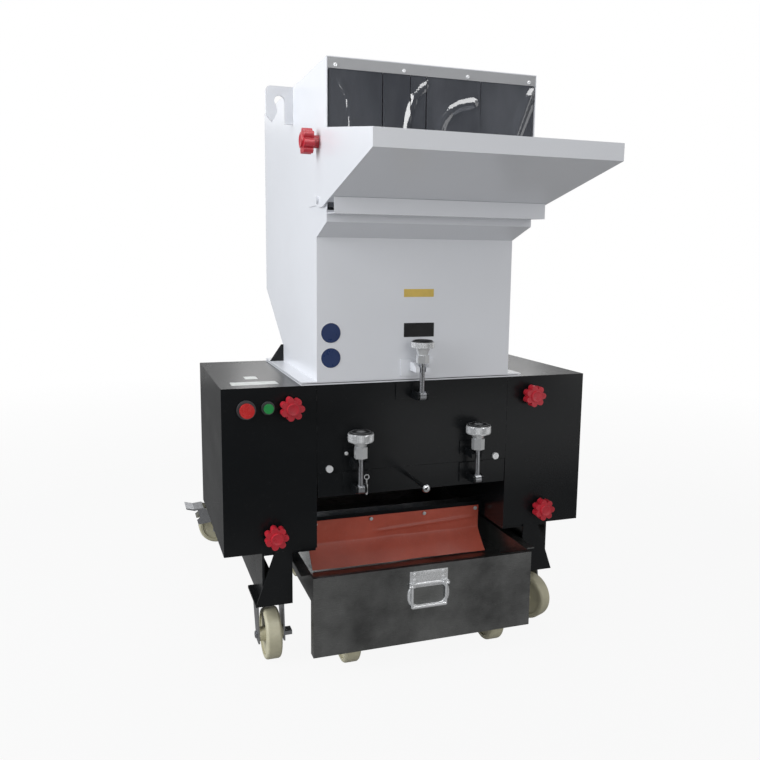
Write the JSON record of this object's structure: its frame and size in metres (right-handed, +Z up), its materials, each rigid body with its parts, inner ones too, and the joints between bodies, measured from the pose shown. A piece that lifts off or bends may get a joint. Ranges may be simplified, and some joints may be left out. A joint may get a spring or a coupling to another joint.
{
  "type": "plastic granulator",
  "caption": "Casters-mounted plastic granulator: tilting hopper with folding feed tray, knife rotor over a drop-down screen cradle, roll-out bin.",
  "frame": {"origin": "on the floor under the middle of the machine's bounding box", "axes": "+Z up, +X to the machine's right as seen from the feed tray, -Y towards the feed tray"},
  "size_m": [0.983, 1.38, 1.406],
  "materials": {
    "black_paint": "gloss powder coat",
    "white_paint": "gloss powder coat",
    "tool_steel": "ground",
    "machined_steel": "turned",
    "cast_iron": "rough cast",
    "bezel_steel": "satin",
    "motor_paint": "satin enamel",
    "belt_rubber": "matt",
    "curtain_rubber": "matt",
    "clear_pvc": "clear dark sheet",
    "chrome_trim": "polished",
    "zinc": "zinc plated",
    "red_plastic": "moulded",
    "red_button": "moulded",
    "green_button": "moulded",
    "stainless": "dark brushed",
    "cream_nylon": "moulded"
  },
  "bodies": {
    "frame": {"base_rails": "black_paint", "leg_plates": "black_paint", "chamber_walls": "black_paint", "chamber_flange": "white_paint", "fixed_knives": "tool_steel", "bearing_housings": "cast_iron", "left_cover": "black_paint", "right_cover": "black_paint", "hinge_brackets": "black_paint", "clamp_brackets": "black_paint", "control_box": "bezel_steel", "motor": "motor_paint", "cover_stays": "black_paint", "drive_belts": "belt_rubber", "splash_curtain": "curtain_rubber", "cap_screws": "chrome_trim"},
    "rotor": {"rotor_shaft": "machined_steel", "rotor_carriers": "cast_iron", "rotor_knives": "tool_steel", "flywheel": "cast_iron", "rotor_pulley": "machined_steel"},
    "motor_rotor": {"motor_pulley": "machined_steel"},
    "cradle": {"screen_cradle": "black_paint", "screen": "tool_steel", "pull_rod": "chrome_trim"},
    "hopper": {"hopper_body": "white_paint", "gutter": "white_paint", "hook_bracket": "white_paint", "mouth_strip": "white_paint", "mouth_curtain": "clear_pvc", "hopper_hinge": "black_paint"},
    "tray": {"feed_tray": "white_paint"},
    "bin": {"bin_body": "stainless", "handle_plate": "chrome_trim", "bin_forks": "zinc"},
    "left_bolt": {"left_bolt": "zinc"},
    "left_knob": {"left_knob": "chrome_trim"},
    "tray_knob_left": {"tray_knob_left": "red_plastic"},
    "cover_knob_upper_left": {"cover_knob_upper_left": "red_plastic"},
    "cover_knob_lower_left": {"cover_knob_lower_left": "red_plastic"},
    "right_bolt": {"right_bolt": "zinc"},
    "right_knob": {"right_knob": "chrome_trim"},
    "tray_knob_right": {"tray_knob_right": "red_plastic"},
    "cover_knob_upper_right": {"cover_knob_upper_right": "red_plastic"},
    "cover_knob_lower_right": {"cover_knob_lower_right": "red_plastic"},
    "top_bolt": {"top_bolt": "zinc"},
    "top_knob": {"top_knob": "chrome_trim"},
    "red_button": {"red_button": "red_button"},
    "green_button": {"green_button": "green_button"},
    "bail": {"bail_handle": "chrome_trim"},
    "bin_wheels_front": {"bin_wheels_front": "cream_nylon"},
    "bin_wheels_rear": {"bin_wheels_rear": "cream_nylon"},
    "caster_front_left": {"fork_front_left": "zinc"},
    "wheel_front_left": {"wheel_front_left": "cream_nylon"},
    "caster_front_right": {"fork_front_right": "zinc"},
    "wheel_front_right": {"wheel_front_right": "cream_nylon"},
    "caster_rear_left": {"fork_rear_left": "zinc"},
    "wheel_rear_left": {"wheel_rear_left": "cream_nylon"},
    "caster_rear_right": {"fork_rear_right": "zinc"},
    "wheel_rear_right": {"wheel_rear_right": "cream_nylon"}
  },
  "joints": [
    {"name": "rotor_spin", "type": "hinge", "parent": "frame", "child": "rotor", "pos_m": [0, -0.025, 0.56], "axis": [1, 0, 0], "continuous": true},
    {"name": "motor_spin", "type": "hinge", "parent": "frame", "child": "motor_rotor", "pos_m": [0.3, 0.42, 0.424], "axis": [1, 0, 0], "continuous": true},
    {"name": "cradle_drop", "type": "hinge", "parent": "frame", "child": "cradle", "pos_m": [0, 0.195, 0.48], "axis": [1, 0, 0], "range_deg": [0, 11]},
    {"name": "hopper_tilt", "type": "hinge", "parent": "frame", "child": "hopper", "pos_m": [0, 0.219, 0.7], "axis": [-1, 0, 0], "range_deg": [0, 45]},
    {"name": "tray_fold", "type": "hinge", "parent": "hopper", "child": "tray", "pos_m": [0, -0.299, 1.112], "axis": [-1, 0, 0], "range_deg": [0, 45]},
    {"name": "left_bolt_swing", "type": "hinge", "parent": "cradle", "child": "left_bolt", "pos_m": [-0.153, -0.298, 0.441], "axis": [1, 0, 0], "range_deg": [0, 99]},
    {"name": "left_knob_turn", "type": "hinge", "parent": "left_bolt", "child": "left_knob", "pos_m": [-0.153, -0.298, 0.54], "axis": [0, 0, 1], "continuous": true},
    {"name": "tray_knob_left_turn", "type": "hinge", "parent": "tray", "child": "tray_knob_left", "pos_m": [-0.2563, -0.302, 1.236], "axis": [1, 0, 0], "continuous": true},
    {"name": "cover_knob_upper_left_turn", "type": "hinge", "parent": "frame", "child": "cover_knob_upper_left", "pos_m": [-0.3145, -0.26, 0.642], "axis": [0, 1, 0], "continuous": true},
    {"name": "cover_knob_lower_left_turn", "type": "hinge", "parent": "frame", "child": "cover_knob_lower_left", "pos_m": [-0.354, -0.26, 0.3375], "axis": [0, 1, 0], "continuous": true},
    {"name": "right_bolt_swing", "type": "hinge", "parent": "cradle", "child": "right_bolt", "pos_m": [0.153, -0.298, 0.441], "axis": [1, 0, 0], "range_deg": [0, 99]},
    {"name": "right_knob_turn", "type": "hinge", "parent": "right_bolt", "child": "right_knob", "pos_m": [0.153, -0.298, 0.54], "axis": [0, 0, 1], "continuous": true},
    {"name": "tray_knob_right_turn", "type": "hinge", "parent": "tray", "child": "tray_knob_right", "pos_m": [0.2563, -0.302, 1.236], "axis": [1, 0, 0], "continuous": true},
    {"name": "cover_knob_upper_right_turn", "type": "hinge", "parent": "frame", "child": "cover_knob_upper_right", "pos_m": [0.3145, -0.26, 0.642], "axis": [0, 1, 0], "continuous": true},
    {"name": "cover_knob_lower_right_turn", "type": "hinge", "parent": "frame", "child": "cover_knob_lower_right", "pos_m": [0.354, -0.26, 0.3375], "axis": [0, 1, 0], "continuous": true},
    {"name": "top_bolt_swing", "type": "hinge", "parent": "frame", "child": "top_bolt", "pos_m": [0, -0.298, 0.659], "axis": [1, 0, 0], "range_deg": [0, 165]},
    {"name": "top_knob_turn", "type": "hinge", "parent": "top_bolt", "child": "top_knob", "pos_m": [0, -0.298, 0.76], "axis": [0, 0, 1], "continuous": true},
    {"name": "red_button_press", "type": "slide", "parent": "frame", "child": "red_button", "axis": [0, 1, 0], "range_m": [0, 0.004], "stiffness_N_per_m": 500, "springref_m": -0.002},
    {"name": "green_button_press", "type": "slide", "parent": "frame", "child": "green_button", "axis": [0, 1, 0], "range_m": [0, 0.004], "stiffness_N_per_m": 500, "springref_m": -0.002},
    {"name": "bin_slide", "type": "slide", "parent": "frame", "child": "bin", "axis": [0, -1, 0], "range_m": [-0.093, 0.4]},
    {"name": "bail_swing", "type": "hinge", "parent": "bin", "child": "bail", "pos_m": [0, -0.363, 0.206], "axis": [-1, 0, 0], "range_deg": [0, 90]},
    {"name": "bin_wheels_front_roll", "type": "hinge", "parent": "bin", "child": "bin_wheels_front", "pos_m": [0.014, -0.275, 0.0625], "axis": [1, 0, 0], "continuous": true},
    {"name": "bin_wheels_rear_roll", "type": "hinge", "parent": "bin", "child": "bin_wheels_rear", "pos_m": [0.014, 0.27, 0.0625], "axis": [1, 0, 0], "continuous": true},
    {"name": "caster_front_left_swivel", "type": "hinge", "parent": "frame", "child": "caster_front_left", "pos_m": [-0.355, -0.172, 0.15], "axis": [0, 0, 1], "continuous": true},
    {"name": "wheel_front_left_roll", "type": "hinge", "parent": "caster_front_left", "child": "wheel_front_left", "pos_m": [-0.355, -0.202, 0.0625], "axis": [1, 0, 0], "continuous": true},
    {"name": "caster_front_right_swivel", "type": "hinge", "parent": "frame", "child": "caster_front_right", "pos_m": [0.355, -0.172, 0.15], "axis": [0, 0, 1], "continuous": true},
    {"name": "wheel_front_right_roll", "type": "hinge", "parent": "caster_front_right", "child": "wheel_front_right", "pos_m": [0.36768, -0.19919, 0.0625], "axis": [0.9063, 0.4226, 0], "continuous": true},
    {"name": "caster_rear_left_swivel", "type": "hinge", "parent": "frame", "child": "caster_rear_left", "pos_m": [-0.355, 0.645, 0.15], "axis": [0, 0, 1], "continuous": true},
    {"name": "wheel_rear_left_roll", "type": "hinge", "parent": "caster_rear_left", "child": "wheel_rear_left", "pos_m": [-0.385, 0.645, 0.0625], "axis": [0, -1, 0], "continuous": true},
    {"name": "caster_rear_right_swivel", "type": "hinge", "parent": "frame", "child": "caster_rear_right", "pos_m": [0.355, 0.645, 0.15], "axis": [0, 0, 1], "continuous": true},
    {"name": "wheel_rear_right_roll", "type": "hinge", "parent": "caster_rear_right", "child": "wheel_rear_right", "pos_m": [0.385, 0.645, 0.0625], "axis": [0, 1, 0], "continuous": true}
  ],
  "couplings": [
    {"joint": "motor_spin", "follows": "rotor_spin", "ratio": 1.6},
    {"joint": "left_bolt_swing", "follows": "cradle_drop", "ratio": 9},
    {"joint": "right_bolt_swing", "follows": "cradle_drop", "ratio": 9},
    {"joint": "top_bolt_swing", "follows": "hopper_tilt", "ratio": 3.6666}
  ]
}
